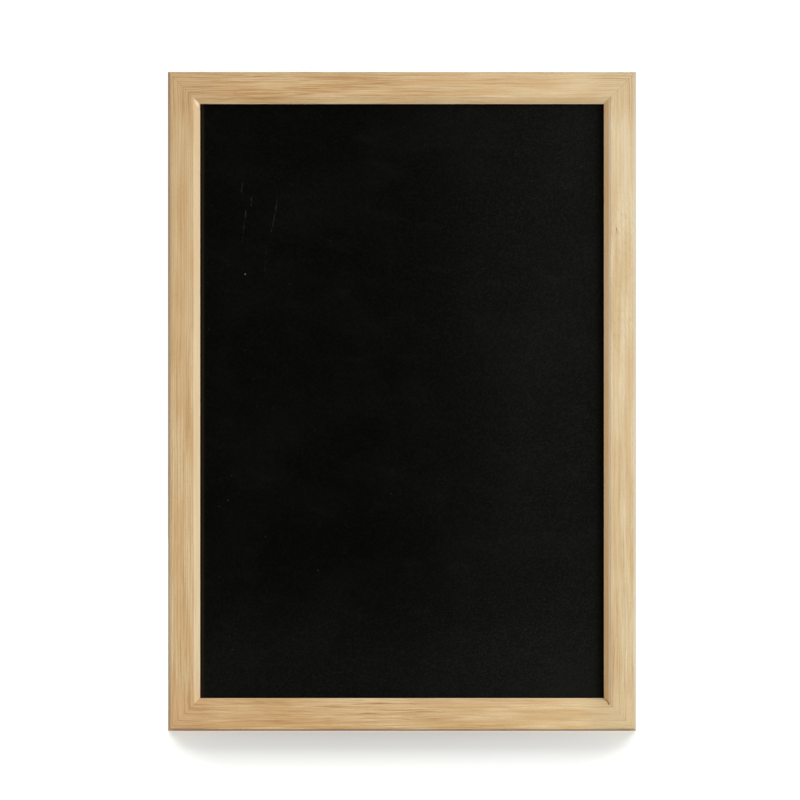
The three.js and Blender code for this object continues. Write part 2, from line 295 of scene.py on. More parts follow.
@dataclass(frozen=True)
class Pine:
    """Planed and sanded pine without varnish; all places and lengths are in millimetres."""

    name: str
    grain: Grain
    cut: float  # how far along the plank the member was cut
    pitch: float  # between growth lines
    wander: float  # how far they wander, in pitches
    streaks: float  # strength of the brown streaks
    lines: float  # strength of the growth lines between the streaks
    calm: tuple[float, float]  # the streaks fade from the first place to the second
    middle: float  # place across the member, from which both of its sides lie equally far
    half: float  # from that place to the outer side
    ends: tuple[float, float]  # places of the member's low and high end
    corners: tuple[Colour, Colour]  # painted light and shade: factors of all colours at those ends' corners
    nested: float = 0.62  # strength of the lines that run on round the corners
    feather: tuple[float, float, float] = (0.0, 1.0, 0.0)  # from, to and strength of the slanted ticks
    marks: tuple[Mark, ...] = ()
    pale: Colour = srgb(221, 194, 151)
    warm: Colour = srgb(210, 176, 129)
    late: Colour = srgb(191, 150, 101)
    brown: Colour = srgb(166, 120, 72)
    painted_shading: Colour = srgb(196, 180, 152)  # painted light and shade on the outer round
    painted_shading_share: float = 0.5
    painted_shading_reach: float = 2.4  # in from the outer side
    bevel_light_shade: Colour = srgb(240, 220, 184)  # painted light and shade on the bevel, and a painted highlight on its inner edge
    bevel_light_shade_share: float = 0.0
    arris_highlight_share: float = 0.0
    shoulder: Colour = srgb(252, 236, 204)  # painted highlight on the bevel's outer edge
    shoulder_highlight_share: float = 0.0
    near: Colour = (1.0, 1.0, 1.0, 1.0)  # painted light and shade: factors of all colours at the member's low end
    far: Colour = (1.0, 1.0, 1.0, 1.0)  # and at its high end
    foot: Colour = srgb(104, 74, 42)  # painted contact shadow where the board stands
    foot_shadow_height: float = -1.0

    def material(self) -> bpy.types.Material:
        """Builds the material.

        Returns:
            The material.
        """
        material = bpy.data.materials.new(self.name)
        s = Shader(material)
        x, y, z = s.place()
        length, across = (z, x) if self.grain is Grain.UP else (x, z)
        along = length + self.cut

        drift = s.noise((along / 80, across / 18, y / 18), 1.0) - 0.5
        ripple = s.noise((along / 22, across / 4.5, y / 6), 1.0) - 0.5
        spread = s.noise((along / 400, across / 6, y / 6)) - 0.5
        phase = across / self.pitch + y * (0.3 / self.pitch) + spread * 3 \
            + drift * (self.wander * 5) + ripple * (self.wander * 1.6)
        ring = s.math("FRACT", phase)
        growth = s.rise(ring, 0.25, 0.78) * s.rise(ring, 1.0, 0.84)

        lively = s.rise(length, self.calm[1], self.calm[0]) * 0.75 + 0.25
        line = s.rise(ring, 0.5, 0.72) * s.rise(ring, 0.97, 0.84)
        patches = s.rise(s.noise((along / 34, across / 3.6, y / 5), 2.0), 0.4, 0.62)
        broken = s.rise(s.noise((along / 14, across / 0.8, y / 2), 2.0, 0.65), 0.36, 0.58)
        bent = across + drift * 2.6
        dashes = s.rise(s.noise((along / 13, bent / 0.42, y / 0.7), 1.0), 0.48, 0.64)
        lengthwise = self._lines(s, along, bent, y, self.cut)
        streak = (line * broken * 0.3 + dashes * 0.4 + lengthwise * 0.75) \
            * (patches * 0.4 + 0.6) * lively * self.streaks

        fibre = s.noise((along / 9, across / 0.3, y / 0.3), 1.0)
        pores = s.rise(s.noise((along / 2.6, across / 0.22, y / 0.22)), 0.66, 0.78)
        tone = s.noise((along / 55, across / 7, y / 9), 1.0)

        aside = self.half - s.math("ABSOLUTE", across - self.middle)
        start, full = CORNER
        low_turn = s.rise(length, self.ends[0] + start, self.ends[0] + full)
        high_turn = s.rise(length, self.ends[1] - start, self.ends[1] - full)
        turn = low_turn + high_turn
        turned = self._turned_lines(s, length, aside, y)
        streak = streak * (1 - turn) + turned * turn * self.nested
        tone = tone * (1 - turn) + turn * 0.5

        colour = s.blend(s.rise(tone, 0.36, 0.64), self.pale, self.warm)
        colour = s.blend(growth * (1 - turn) * self.lines, colour, self.late)
        colour = s.blend(streak, colour, self.brown)
        colour = s.blend(s.rise(fibre, 0.5, 0.75) * 0.22, colour, self.late)
        colour = s.blend(pores * 0.35, colour, self.brown)
        feather = self._feather(s, length, along, across) * s.rise(y, *FACE)
        colour = s.blend(feather, colour, self.late)

        front = s.rise(y, *FRONT)
        # Painted light and shade on the outer round: greyer and darker on the left stile, paler on the right
        # one.
        painted_shading = s.rise(aside, self.painted_shading_reach, self.painted_shading_reach - 2) * s.rise(y, *OUTER_ROUND)
        colour = s.blend(painted_shading * self.painted_shading_share, colour, self.painted_shading)
        # Painted light and shade on the bevel, and a painted highlight along its inner edge.
        colour = s.blend(s.rise(aside, *BEVEL) * front * self.bevel_light_shade_share, colour, self.bevel_light_shade)
        colour = s.blend(s.rise(aside, *ARRIS) * front * self.arris_highlight_share, colour, self.bevel_light_shade)
        # Painted highlight along the bevel's outer edge.
        shoulder = s.band(aside, *SHOULDER, 0.35) * front
        colour = s.blend(shoulder * self.shoulder_highlight_share, colour, self.shoulder)
        # Painted light and shade: all colours are scaled along the member and at its corners, darker towards
        # the top left and lighter towards the bottom right.
        painted_falloff = s.blend(s.rise(length, *self.ends), self.near, self.far)
        painted_falloff = s.blend(low_turn, painted_falloff, self.corners[0])
        painted_falloff = s.blend(high_turn, painted_falloff, self.corners[1])
        colour = s.blend(1.0, colour, painted_falloff, "MULTIPLY")
        for mark in self.marks:
            colour = s.blend(self._mark(s, mark, length, across) * front, colour, mark.colour)
        # Painted contact shadow: the lowest millimetre of the bottom rail is darkened where the board stands
        # on the floor.
        if self.foot_shadow_height > 0:
            inside = s.rise(s.math("ABSOLUTE", x), HALF_WIDTH - 1, HALF_WIDTH - 5)
            foot = s.rise(z, self.foot_shadow_height, 0.4 * self.foot_shadow_height) * inside
            colour = s.blend(foot * 0.9, colour, self.foot)

        relief = s.bump(growth * 0.5 + fibre * 0.9 - pores * 0.8, 0.035 * MM)
        s.surface(
            Base_Color=colour,
            Roughness=0.56 + fibre * 0.12 - growth * 0.06,
            Specular_IOR_Level=0.35,
            Normal=relief,
        )
        return material

    def _turned_lines(self, s: Shader, length: Value, aside: Value, y: Value) -> Value:
        """Lines that run on from one member to the next round the corner.

        They follow only the distances from the frame's outer side and from the member's nearest end, which are
        equal on both sides of a mitre.

        Args:
            s: The material's nodes.
            length: Place along the member.
            aside: Distance from the frame's outer side.
            y: Depth.

        Returns:
            How much of the lines' colour shows.
        """
        x, _, z = s.place()
        centre = (self.ends[0] + self.ends[1]) / 2
        reach = self.ends[1] - centre - s.math("ABSOLUTE", length - centre)
        corner = s.rise(x, -1, 1) * RIGHT_SHIFT + s.rise(z, HALF_HEIGHT - 1, HALF_HEIGHT + 1) * UPPER_SHIFT
        return self._lines(s, reach, aside, y, corner)

    @staticmethod
    def _lines(s: Shader, along: Value, across: Value, y: Value, shift: Number) -> Value:
        """Long, nearly parallel lines of late wood.

        Args:
            s: The material's nodes.
            along: Place along the lines.
            across: Place across them.
            y: Depth.
            shift: Picks the pattern.

        Returns:
            How much of the lines' colour shows.
        """
        sway = s.noise((along / 16, across / 5 + shift, y / 5)) - 0.5
        wavy = across + sway * 1.5
        wide = s.rise(s.noise((along / 60, wavy + shift, y / 3)), 0.5, 0.64)
        fine = s.rise(s.noise((along / 32, wavy / 0.5 - shift, y / 2)), 0.52, 0.64)
        return wide * 0.65 + fine * 0.4

    def _feather(self, s: Shader, length: Value, along: Value, across: Value) -> Value:
        """Short slanted ticks, where the cut crosses the fibres.

        Args:
            s: The material's nodes.
            length: Place along the member.
            along: Place along the plank.
            across: Place across the member.

        Returns:
            How much of the ticks' colour shows.
        """
        start, end, strength = self.feather
        if not strength:
            return across * 0.0
        slanted = across + along * 0.22
        ticks = s.rise(s.noise((along / 5.5, slanted / 0.75, 3.0), 1.0), 0.54, 0.68)
        return ticks * s.band(length, start, end, 12.0) * strength

    @staticmethod
    def _mark(s: Shader, mark: Mark, length: Value, across: Value) -> Value:
        """One placed mark, with a soft outline.

        Args:
            s: The material's nodes.
            mark: Its place and size.
            length: Place along the member.
            across: Place across the member.

        Returns:
            How much of the mark's colour shows.
        """
        forth = length - mark.along
        aside = across - mark.across - forth * mark.slant
        far = s.math("POWER", s.math("ABSOLUTE", forth / mark.length), 2.0) \
            + s.math("POWER", s.math("ABSOLUTE", aside / mark.breadth), 2.0)
        return s.rise(far, 1.0, 0.1) * mark.depth


@dataclass(frozen=True)
class Scratch:
    """One faint scratch on the chalk coat, in millimetres."""

    x: float
    z: float
    length: float
    slant: float
    strength: float


@dataclass(frozen=True)
class ChalkCoat:
    """Matt black chalk coat on brown hardboard, whose back shows the mesh that it was pressed on."""

    name: str
    coat_back: float  # y, in millimetres, where the coat ends on the panel's edge
    rim: float  # x, in millimetres, of the left edge of the opening
    scratches: tuple[Scratch, ...]
    specks: tuple[tuple[float, float, float, float], ...]  # x, z, radius and strength of each chalk speck
    black: Colour = (0.0009, 0.0013, 0.0008, 1.0)
    # Lighter coat tone, for the pebbled wear and for the painted sheen towards the right and the bottom.
    wear_and_sheen: Colour = (0.0122, 0.0127, 0.0108, 1.0)
    tan: Colour = (0.022, 0.0145, 0.0075, 1.0)  # painted reflection of warm light from the left stile's lip
    shaded: Colour = (0.0022, 0.0012, 0.0002, 1.0)  # painted shadow of the right stile's lip, on the strip beside it
    chalk: Colour = srgb(150, 150, 144)
    board: Colour = srgb(112, 76, 50)
    board_dark: Colour = srgb(74, 48, 31)

    def material(self) -> bpy.types.Material:
        """Builds the material.

        Returns:
            The material.
        """
        material = bpy.data.materials.new(self.name)
        s = Shader(material)
        x, y, z = s.place()

        pebbles = s.noise((x / 1.1, y / 1.1, z / 1.1), 3.0, 0.7)
        clouds = s.noise((x / 60, y / 60, z / 45), 2.0)
        smudges = s.noise((x / 26, y / 26, z / 9 + x / 40), 3.0, 0.6)
        # Painted sheen: the coat is lighter towards the right and towards the bottom.
        painted_shading = s.rise(x, -30, 125) * 0.56 + s.rise(z, 115, 20) * 0.47
        wear_and_sheen = s.rise(pebbles, 0.4, 0.72) * (0.34 + painted_shading * 0.9) * 0.66 + painted_shading * 0.5 \
            + s.rise(clouds, 0.42, 0.68) * 0.1 + s.rise(smudges, 0.52, 0.74) * 0.08
        coat = s.blend(wear_and_sheen, self.black, self.wear_and_sheen)
        # Painted reflection: a warm band on the coat beside the left stile.
        rim = s.rise(x, self.rim + 3.2, self.rim + 1.5) * s.rise(x, self.rim + 0.4, self.rim + 1.2)
        coat = s.blend(rim * 0.8, coat, self.tan)
        # Painted shadow: a darker, browner strip beside the right stile.
        coat = s.blend(s.rise(x, -self.rim - 7, -self.rim) * 0.75, coat, self.shaded)
        coat = s.blend(self._scratches(s, x, z), coat, self.chalk)
        coat = s.blend(self._specks(s, x, z), coat, self.chalk)

        chips = s.noise((x / 1.1, y / 1.1, z / 1.1), 2.0)
        fibres = s.noise((x / 3.5, y / 0.6, z / 1.2), 3.0, 0.7)
        weave = self._mesh_mark(s, x, z)
        wood = s.blend(s.rise(fibres * 0.6 + chips * 0.4, 0.38, 0.62), self.board_dark, self.board)
        wood = s.blend(weave * 0.35, wood, self.board_dark)

        back = s.rise(y + chips * 0.5, self.coat_back, self.coat_back + 0.3)
        relief = s.bump(pebbles * (1 - back) * 0.5 - weave * back * 1.5 + fibres * back, 0.06 * MM)
        s.surface(
            Base_Color=s.blend(back, coat, wood),
            Roughness=0.72 + pebbles * 0.16,
            Specular_IOR_Level=0.025,
            Normal=relief,
        )
        return material

    def _scratches(self, s: Shader, x: Value, z: Value) -> Value:
        """The scratches, broken up along their length.

        Args:
            s: The material's nodes.
            x: Place across the panel.
            z: Place up the panel.

        Returns:
            How much chalk shows in them.
        """
        broken = s.rise(s.noise((x / 1.4, 0.0, z / 3.2), 1.0), 0.42, 0.62)
        total = x * 0.0
        for scratch in self.scratches:
            forth = z - scratch.z
            aside = s.math("ABSOLUTE", x - scratch.x - forth * scratch.slant)
            line = s.rise(aside, 0.45, 0.1) * s.band(forth, 0.0, scratch.length, 2.5)
            total = total + line * scratch.strength
        return total * broken

    def _specks(self, s: Shader, x: Value, z: Value) -> Value:
        """Chalk specks: a few placed ones, and fine dust all over.

        Args:
            s: The material's nodes.
            x: Place across the panel.
            z: Place up the panel.

        Returns:
            How much chalk shows in them.
        """
        dust = s.rise(s.cells((x / 13, 0.0, z / 13)), 0.028, 0.012) * 0.12
        for speck_x, speck_z, radius, strength in self.specks:
            far = s.math("POWER", x - speck_x, 2.0) + s.math("POWER", z - speck_z, 2.0)
            dust = dust + s.rise(far, radius ** 2, 0.2 * radius ** 2) * strength
        return dust

    @staticmethod
    def _mesh_mark(s: Shader, x: Value, z: Value) -> Value:
        """The fine grid that the press's wire mesh leaves in the back."""
        pitch = 2 * math.pi / 1.7
        warp = s.math("SINE", (x + z) * pitch)
        weft = s.math("SINE", (x - z) * pitch)
        return s.rise(warp * weft, 0.15, 0.75)


@dataclass(frozen=True)
class Steel:
    """Steel sheet and wire, either bright with zinc or bare."""

    name: str
    light: Colour
    shade: Colour
    roughness: float
    spangle: float  # size of the zinc's crystals or of the stains, in millimetres

    def material(self) -> bpy.types.Material:
        """Builds the material.

        Returns:
            The material.
        """
        material = bpy.data.materials.new(self.name)
        s = Shader(material)
        x, y, z = s.place()
        grains = s.cells((x / self.spangle, y / self.spangle, z / self.spangle))
        stains = s.noise((x / 2.5, y / 2.5, z / 2.5), 3.0, 0.6)
        scuffs = s.rise(s.noise((x / 0.12, y / 0.6, z / 3.0), 1.0), 0.56, 0.7)
        colour = s.blend(s.rise(stains, 0.38, 0.66), self.light, self.shade)
        colour = s.blend(grains * 0.35, colour, self.shade)
        s.surface(
            Base_Color=colour,
            Metallic=1.0,
            Roughness=self.roughness + stains * 0.16 + scuffs * 0.1,
            Normal=s.bump(stains * 0.6 + grains * 0.3 - scuffs * 0.25, 0.02 * MM),
        )
        return material


@dataclass(frozen=True)
class Paper:
    """Plain pale studio floor."""

    name: str = "studio_floor"
    colour: Colour = (0.955, 0.96, 0.935, 1.0)

    def material(self) -> bpy.types.Material:
        """Builds the material.

        Returns:
            The material.
        """
        material = bpy.data.materials.new(self.name)
        s = Shader(material)
        x, y, z = s.place()
        mottle = s.noise((x / 9, y / 9, z / 9), 2.0)
        s.surface(Base_Color=self.colour, Roughness=0.5 + mottle * 0.1, Specular_IOR_Level=0.3)
        return material


# Mesh tools


def ring(width: float, height: float, matrix: Matrix) -> bmesh.types.BMesh:
    """Starts a mesh from the four edges of a rectangle.

    Args:
        width: Size along the drawing plane's x.
        height: Size along its y.
        matrix: Where the drawing plane lies.

    Returns:
        The mesh.
    """
    bm = bmesh.new()
    shape = matrix @ Matrix.Diagonal((width, height, 1.0, 1.0))
    bmesh.ops.create_grid(bm, x_segments=1, y_segments=1, size=0.5, matrix=shape)
    bmesh.ops.delete(bm, geom=bm.faces[:], context="FACES_ONLY")
    return bm


def prism(corners: Iterable[tuple[float, float]], matrix: Matrix, height: float) -> bmesh.types.BMesh:
    """Makes a solid from a flat outline.

    Args:
        corners: The outline's corners in the drawing plane.
        matrix: Where the drawing plane lies.
        height: How far the outline is extruded along the plane's own z.

    Returns:
        The mesh.
    """
    bm = bmesh.new()
    outline = [bm.verts.new(matrix @ Vector((a, b, 0.0))) for a, b in corners]
    face = bm.faces.new(outline)
    made = bmesh.ops.extrude_face_region(bm, geom=[face])["geom"]
    lifted = [item for item in made if isinstance(item, bmesh.types.BMVert)]
    bmesh.ops.translate(bm, verts=lifted, vec=matrix.to_3x3() @ Vector((0, 0, height)))
    bmesh.ops.recalc_face_normals(bm, faces=bm.faces[:])
    return bm


def rod(middle: Vector, radius: float, length: float) -> bmesh.types.BMesh:
    """Makes a cylinder along Y, the shape of a drilled hole.

    Args:
        middle: Its middle.
        radius: Its radius.
        length: Its length.

    Returns:
        The mesh.
    """
    bm = bmesh.new()
    place = Matrix.Translation(middle) @ Matrix.Rotation(math.pi / 2, 4, "X")
    bmesh.ops.create_cone(
        bm, cap_ends=True, segments=32, radius1=radius, radius2=radius, depth=length, matrix=place
    )
    return bm


def edges_where(bm: bmesh.types.BMesh, test: Callable[[Vector], bool]) -> list[bmesh.types.BMEdge]:
    """Lists the edges of which both ends pass a test of their place."""
    return [edge for edge in bm.edges if all(test(vert.co) for vert in edge.verts)]


def ease(bm: bmesh.types.BMesh, edges: Iterable[bmesh.types.BMEdge], offset: float, segments: int) -> None:
    """Rounds edges.

    Args:
        bm: The mesh.
        edges: The edges to round.
        offset: How far the round reaches on each side of an edge.
        segments: How many facets it gets.
    """
    bmesh.ops.bevel(
        bm,
        geom=list(edges),
        offset=offset,
        offset_type="OFFSET",
        affect="EDGES",
        segments=segments,
        profile=0.5,
        material=-1,
        clamp_overlap=True,
    )


def object_from(bm: bmesh.types.BMesh, name: str) -> bpy.types.Object:
    """Turns a mesh under construction into an object at the origin.

    Args:
        bm: The mesh, which is used up.
        name: The object's name.

    Returns:
        The object.
    """
    bmesh.ops.remove_doubles(bm, verts=bm.verts[:], dist=SAME_PLACE)
    bmesh.ops.recalc_face_normals(bm, faces=bm.faces[:])
    mesh = bpy.data.meshes.new(name)
    bm.to_mesh(mesh)
    bm.free()
    made = bpy.data.objects.new(name, mesh)
    bpy.context.scene.collection.objects.link(made)
    return made


def carve(piece: bpy.types.Object, tool: bmesh.types.BMesh) -> None:
    """Cuts a shape out of a piece.

    Args:
        piece: The piece.
        tool: The shape that is cut away, which is used up.
    """
    cutter = object_from(tool, "cutter")
    modifier = piece.modifiers.new("cut", "BOOLEAN")
    modifier.operation = "DIFFERENCE"
    modifier.solver = "EXACT"
    modifier.object = cutter
    graph = bpy.context.evaluated_depsgraph_get()
    carved = bpy.data.meshes.new_from_object(piece.evaluated_get(graph))
    piece.modifiers.clear()
    spent = [piece.data, cutter.data]
    piece.data = carved
    bpy.data.objects.remove(cutter)
    for mesh in spent:
        bpy.data.meshes.remove(mesh)


def finish(piece: bpy.types.Object, material: bpy.types.Material, edge: float = 0.0) -> None:
    """Gives a piece its material, shades it smooth between its creases and keeps its flats flat.

    Args:
        piece: The piece.
        material: Its only material.
        edge: Width of a small round on the sharp edges.
    """
    piece.data.materials.clear()
    piece.data.materials.append(material)
    crease = math.radians(CREASE)
    if edge:
        rounding = piece.modifiers.new("edges", "BEVEL")
        rounding.width = edge
        rounding.segments = 2
        rounding.limit_method = "ANGLE"
        rounding.angle_limit = crease
    piece.data.shade_smooth()
    if not edge:
        piece.data.set_sharp_from_angle(angle=crease)
    weighting = piece.modifiers.new("flats", "WEIGHTED_NORMAL")
    weighting.weight = 100
    weighting.keep_sharp = True
    log.info("%s: %d faces", piece.name, len(piece.data.polygons))


class Sweep:
    """A ring of edges that is carried forward and round bends, as a wire or a strip is bent."""

    def __init__(self, bm: bmesh.types.BMesh, heading: Vector, axis: Vector) -> None:
        """Starts from a mesh that holds only the ring.

        Args:
            bm: The mesh.
            heading: The direction in which the ring sets off.
            axis: The direction that bends turn about.
        """
        self.bm = bm
        self.edges = bm.edges[:]
        self.heading = heading.copy()
        self.axis = axis

    def _take(self, made: Sequence[object]) -> list[bmesh.types.BMVert]:
        """Goes on from newly made geometry.

        Args:
            made: What the last operator made.

        Returns:
            The vertices of the new ring.
        """
        self.edges = [item for item in made if isinstance(item, bmesh.types.BMEdge) and item.is_boundary]
        return list({vert for edge in self.edges for vert in edge.verts})

    def forward(self, distance: float) -> "Sweep":
        """Carries the ring straight on, and gives the sweep back."""
        made = bmesh.ops.extrude_edge_only(self.bm, edges=self.edges)["geom"]
        bmesh.ops.translate(self.bm, verts=self._take(made), vec=self.heading * distance)
        return self

    def bend(self, degrees: float, radius: float, steps: int) -> "Sweep":
        """Carries the ring round a bend.

        Args:
            degrees: How far it turns, to the left if positive.
            radius: Radius of its middle line.
            steps: How many facets the bend gets.

        Returns:
            The sweep itself.
        """
        verts = list({vert for edge in self.edges for vert in edge.verts})
        middle = sum((vert.co for vert in verts), Vector()) / len(verts)
        aside = self.axis.cross(self.heading) * math.copysign(radius, degrees)
        made = bmesh.ops.spin(
            self.bm,
            geom=verts + self.edges,
            cent=middle + aside,
            axis=self.axis,
            angle=math.radians(degrees),
            steps=steps,
        )["geom_last"]
        self._take(made)
        self.heading.rotate(Quaternion(self.axis, math.radians(degrees)))
        return self

    def close(self) -> bmesh.types.BMesh:
        """Closes both ends.

        Returns:
            The finished mesh.
        """
        ends = [edge for edge in self.bm.edges if edge.is_boundary]
        bmesh.ops.holes_fill(self.bm, edges=ends, sides=0)
        bmesh.ops.recalc_face_normals(self.bm, faces=self.bm.faces[:])
        return self.bm


# The board


@dataclass(frozen=True)
class Board:
    """Overall sizes and the planes that the sub-assemblies share."""

    width: float = 300 * MM
    height: float = 422 * MM
    face: float = -9.45 * MM  # y of the frame's front
    moulding_width: float = 20.6 * MM
    moulding_depth: float = 15 * MM
    lip: float = 6.6 * MM  # from the face back to the rebate
    rebate_wall: float = 15 * MM  # from the outer side to the rebate's wall
    hanger_drop: float = 84 * MM  # from the top down to the ring's bar
    screw_drop: float = 12.6 * MM  # from the bar down to the screw

    @property
    def bar_height(self) -> float:
        """Height of the rings' bars."""
        return self.height - self.hanger_drop

    @property
    def screw_height(self) -> float:
        """Height of the hangers' screws."""
        return self.bar_height - self.screw_drop

    @property
    def hanger_side(self) -> float:
        """Distance of the hangers from the board's middle."""
        return self.width / 2 - self.rebate_wall / 2


@dataclass(frozen=True)
class Member:
    """One length of moulding and where it lies."""

    node: str
    piece: str
    length: float
    turns: int  # quarter turns about Y from the left stile
    corner: tuple[float, float]  # x and z of the corner where it starts
    points: int
    pine: Pine
    screw: Optional[float] = None


@dataclass
class PineFrame:
    """The mitred frame: four lengths of one moulding, slotted for its nails and glazier's points."""

    board: Board
    outer_round: float = 2.2 * MM
    back_ease: float = 0.8 * MM
    bevel_width: float = 4.2 * MM
    bevel_drop: float = 4 * MM
    bevel_arris: float = 1.2 * MM
    lip_arris: float = 0.4 * MM
    lip_back_arris: float = 0.1 * MM
    wall_arris: float = 0.15 * MM
    glue_line: float = 0.05 * MM
    mitre_arris: float = 0.02 * MM
    play: float = 0.15 * MM
    overcut: float = 1 * MM
    nail_arm: float = 4.4 * MM
    nail_hook: float = 1.3 * MM
    nail_spread: float = 52
    nail_hook_turn: float = 70
    nail_sheet: float = 0.6 * MM
    nail_bend: float = 0.9 * MM
    nail_height: float = 7 * MM
    nail_sink: float = 0.3 * MM
    nail_insets: tuple[float, float] = (4.4 * MM, 9.6 * MM)
    point_face: float = 10.2 * MM  # from the frame's face back to the points
    point_sheet: float = 0.5 * MM
    point_width: float = 6 * MM
    point_bite: float = 5.5 * MM
    point_taper: float = 3 * MM
    hole_radius: float = 1.45 * MM
    hole_bottom: float = 6.75 * MM  # from the frame's face
    members: list[Member] = field(default_factory=list)

    def build(self) -> None:
        """Builds the members, in the places of their solids."""
        for member in self.members:
            piece = self._moulding(member)
            finish(piece, member.pine.material())
            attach(piece, "board")
            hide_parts(member.node)

    def _section(self) -> list[tuple[float, float, float, int]]:
        """Lists the section's corners.

        Returns:
            For each corner its x, its y, the reach of its round and the round's facets.
        """
        slope = math.atan2(self.bevel_drop, self.bevel_width)
        width, lip = self.board.moulding_width, self.board.lip
        wall, depth = self.board.rebate_wall, self.board.moulding_depth
        return [
            (0.0, 0.0, self.outer_round, 10),
            (width - self.bevel_width, 0.0, self.bevel_arris * math.tan(slope / 2), 5),
            (width, self.bevel_drop, self.lip_arris * math.tan((math.pi / 2 - slope) / 2), 3),
            (width, lip, self.lip_back_arris, 2),
            (wall, lip, 0.0, 0),
            (wall, depth, self.wall_arris, 2),
            (0.0, depth, self.back_ease, 6),
        ]

    def _moulding(self, member: Member) -> bpy.types.Object:
        """Makes one member.

        Args:
            member: Which one.

        Returns:
            The member's object.
        """
        section = self._section()
        bm = prism([(x, y) for x, y, _, _ in section], Matrix.Identity(4), member.length)
        for x, y, reach, facets in section:
            if reach:
                edges = edges_where(bm, lambda co: math.hypot(co.x - x, co.y - y) < NEAR)
                ease(bm, edges, reach, facets)
        shift = self.glue_line / math.sqrt(2)
        self._saw(bm, Vector((0, 0, shift)), Vector((1, 0, -1)))
        self._saw(bm, Vector((0, 0, member.length - shift)), Vector((1, 0, 1)))

        piece = object_from(bm, member.piece)
        carve(piece, self._slots(member))
        if member.screw is not None:
            carve(piece, self._pilot_hole(member.screw))
        x, z = member.corner
        turn = Matrix.Rotation(member.turns * math.pi / 2, 4, "Y")
        piece.data.transform(Matrix.Translation((x, self.board.face, z)) @ turn)
        return piece

    def _saw(self, bm: bmesh.types.BMesh, point: Vector, outward: Vector) -> None:
        """Saws a mitre, and breaks its sharp edges where they show.

        Args:
            bm: The member.
            point: A point of the saw cut.
            outward: The direction of the waste.
        """
        outward = outward.normalized()
        everything = bm.verts[:] + bm.edges[:] + bm.faces[:]
        made = bmesh.ops.bisect_plane(
            bm, geom=everything, dist=SAME_PLACE, plane_co=point, plane_no=outward, clear_outer=True
        )
        rim = [item for item in made["geom_cut"] if isinstance(item, bmesh.types.BMEdge)]
        bmesh.ops.holes_fill(bm, edges=rim, sides=0)
        cut = edges_where(bm, lambda co: abs((co - point).dot(outward)) < NEAR)
        front = [edge for edge in cut if all(vert.co.y < self.bevel_drop for vert in edge.verts)]
        ease(bm, front, self.mitre_arris, 2)

    def _slots(self, member: Member) -> bmesh.types.BMesh:
        """Makes the slots for the nails at both ends, and the slits for the glazier's points.

        Args:
            member: The member that they are cut in.

        Returns:
            The shape to cut away.
        """
        tools = bmesh.new()
        for inset in self.nail_insets:
            for turn, height in ((-math.pi / 4, inset), (math.pi / 4, member.length - inset)):
                place = Matrix.Translation((inset, 0, height)) @ Matrix.Rotation(turn, 4, "Y")
                self._add(tools, self._nail_slot(), place)
        for index in range(member.points):
            height = member.length * (index + 0.5) / member.points
            self._add(tools, self._point_slit(), Matrix.Translation((self.board.rebate_wall, 0, height)))
        return tools

    @staticmethod
    def _add(tools: bmesh.types.BMesh, tool: bmesh.types.BMesh, place: Matrix) -> None:
        """Adds one tool to the others; it is used up."""
        bmesh.ops.transform(tool, matrix=place, verts=tool.verts[:])
        held = bpy.data.meshes.new("tool")
        tool.to_mesh(held)
        tool.free()
        tools.from_mesh(held)
        bpy.data.meshes.remove(held)

    def _nail_slot(self) -> bmesh.types.BMesh:
        """Makes the slot of one V nail, the nail's point at the origin and its arms towards +X.

        Returns:
            The slot, open behind the member's back.
        """
        spread = math.radians(self.nail_spread)
        hook = spread - math.radians(self.nail_hook_turn)
        arm_end = Vector((math.cos(spread), 0, math.sin(spread))) * self.nail_arm
        inward = Vector((-math.cos(hook), 0, -math.sin(hook)))
        start = arm_end - inward * (self.nail_hook + self.play)
        point_turn = 180 - 2 * self.nail_spread
        hook_run = self.nail_bend * math.tan(math.radians(self.nail_hook_turn / 2))
        point_run = self.nail_bend * math.tan(math.radians(point_turn / 2))
        bottom = self.board.moulding_depth - self.nail_sink - self.nail_height - self.play
        top = self.board.moulding_depth + self.overcut
        start.y = (bottom + top) / 2
        plane = Matrix((AXIS_Y.cross(inward), AXIS_Y, inward)).transposed().to_4x4()
        plane.translation = start
        profile = ring(self.nail_sheet + 2 * self.play, top - bottom, plane)
        straight = self.nail_arm - hook_run - point_run
        sweep = Sweep(profile, inward, -AXIS_Y)
        sweep.forward(self.nail_hook + self.play - hook_run).bend(self.nail_hook_turn, self.nail_bend, 6)
        sweep.forward(straight).bend(point_turn, self.nail_bend, 6)
        sweep.forward(straight).bend(self.nail_hook_turn, self.nail_bend, 6)
        return sweep.forward(self.nail_hook + self.play - hook_run).close()

    def _point_slit(self) -> bmesh.types.BMesh:
        """Makes the slit of one glazier's point, its tip towards -X.

        Returns:
            The slit, open in the rebate's wall.
        """
        half = self.point_width / 2 + self.play
        shoulder = self.point_taper - self.point_bite
        corners = [
            (-self.point_bite - self.play, 0.0),
            (shoulder, -half),
            (self.overcut, -half),
            (self.overcut, half),
            (shoulder, half),
        ]
        back = self.point_face + self.point_sheet + self.play
        plane = Matrix.Translation((0, back, 0)) @ Matrix.Rotation(math.pi / 2, 4, "X")
        return prism(corners, plane, self.point_sheet + 2 * self.play)

    def _pilot_hole(self, height: float) -> bmesh.types.BMesh:
        """Makes the hole for a hanger's screw.

        Args:
            height: Its place along the member.

        Returns:
            The shape to cut away.
        """
        top = self.board.moulding_depth + self.overcut
        middle = Vector((self.board.rebate_wall / 2, (self.hole_bottom + top) / 2, height))
        return rod(middle, self.hole_radius, top - self.hole_bottom)


